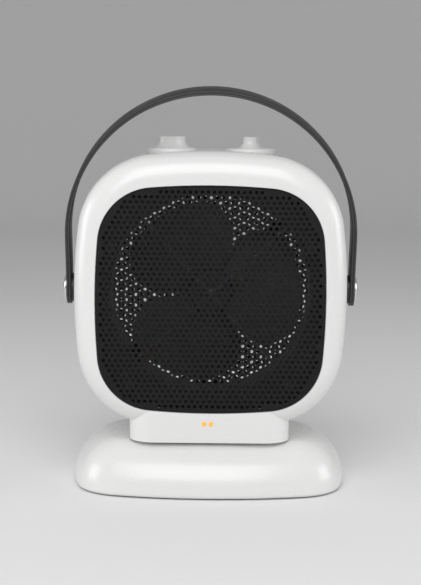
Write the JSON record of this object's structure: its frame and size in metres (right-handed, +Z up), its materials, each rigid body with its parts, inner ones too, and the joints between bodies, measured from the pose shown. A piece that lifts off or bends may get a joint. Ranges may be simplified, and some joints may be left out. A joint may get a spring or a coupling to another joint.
{
  "type": "fan heater",
  "caption": "Portable fan heater: rounded-square white head with a perforated black grille, swivelling on a pillow base, with top dials and a leather strap handle.",
  "frame": {"origin": "on the floor under the swivel axis, at the middle of the base", "axes": "+Z up, -Y out of the front grille, +X to the right as seen from the front"},
  "size_m": [0.2594, 0.17, 0.3463],
  "materials": {
    "white_casing": "glossy injection-moulded white",
    "grille_black": "satin black powder coat",
    "black_plastic": "matt black moulding",
    "strap_leather": "black grained leather, stitched",
    "rivet_metal": "polished nickel",
    "steel": "bright zinc plate",
    "brass": "plain turned brass",
    "copper": "enamelled copper wire",
    "mica": "pressed mica sheet",
    "coil_wire": "oxidised resistance wire",
    "amber_lens": "clear amber, lit",
    "board": "green circuit board",
    "grey_plastic": "grey engineering plastic",
    "white_acetal": "slippery bearing plastic",
    "rubber": "soft black rubber",
    "iron": "plain black iron"
  },
  "bodies": {
    "base": {"base_shell": "white_casing", "base_plate": "black_plastic", "base_screws": "steel", "rubber_feet": "rubber", "counterweight": "iron", "weight_screws": "steel", "swivel_bearing": "white_acetal", "oscillation_motor": "steel", "gearbox_screws": "steel", "tip_over_switch": "black_plastic", "terminal_block": "grey_plastic", "cord_gland": "rubber"},
    "crank": {"oscillation_crank": "grey_plastic"},
    "head": {"front_housing": "white_casing", "rear_cover": "white_casing", "rear_cover_screws": "steel", "front_grille": "grille_black", "grille_studs": "grille_black", "grille_nuts": "steel", "rear_grille": "grille_black", "fan_shroud": "black_plastic", "mica_plate_long": "mica", "mica_plate_cross": "mica", "heating_coil": "coil_wire", "coil_terminals": "brass", "thermal_cutout": "steel", "motor_bridge": "grille_black", "bridge_screws": "steel", "motor_front_cap": "steel", "motor_can": "steel", "motor_rear_cap": "steel", "motor_bearings": "brass", "stator_core": "steel", "stator_windings": "copper", "motor_screws": "steel", "mode_switch": "black_plastic", "thermostat": "grey_plastic", "control_nuts": "steel", "indicator_lamps": "amber_lens", "lamp_board": "board", "lamp_board_screws": "steel", "pivot_screws": "steel", "strap_washers": "black_plastic", "swivel_post": "grey_plastic", "post_screws": "steel", "retainer_ring": "steel", "swing_arm": "grey_plastic", "arm_screws": "steel"},
    "fan": {"impeller": "black_plastic", "hub_nut": "steel", "motor_shaft": "steel", "rotor": "steel"},
    "mode_dial": {"mode_knob": "white_casing", "mode_shaft": "steel"},
    "thermostat_dial": {"thermostat_knob": "white_casing", "thermostat_shaft": "steel"},
    "handle": {"handle_strap": "strap_leather", "rivet_caps": "rivet_metal"}
  },
  "joints": [
    {"name": "head_swivel", "type": "hinge", "parent": "base", "child": "head", "pos_m": [0, 0, 0.0437], "axis": [0, 0, 1], "range_deg": [-30, 30]},
    {"name": "crank_turn", "type": "hinge", "parent": "base", "child": "crank", "pos_m": [0, 0.036, 0.0248], "axis": [0, 0, 1], "range_deg": [-87, 87]},
    {"name": "fan_spin", "type": "hinge", "parent": "head", "child": "fan", "pos_m": [0, 0, 0.17], "axis": [0, 1, 0], "continuous": true},
    {"name": "mode_turn", "type": "hinge", "parent": "head", "child": "mode_dial", "pos_m": [-0.034, 0, 0.292], "axis": [0, 0, 1], "range_deg": [-180, 90]},
    {"name": "thermostat_turn", "type": "hinge", "parent": "head", "child": "thermostat_dial", "pos_m": [0.034, 0, 0.292], "axis": [0, 0, 1], "range_deg": [-135, 135]},
    {"name": "handle_pivot", "type": "hinge", "parent": "head", "child": "handle", "pos_m": [0, 0, 0.17], "axis": [1, 0, 0], "range_deg": [-100, 80]}
  ],
  "couplings": [
    {"joint": "crank_turn", "follows": "head_swivel", "ratio": 2.9}
  ]
}
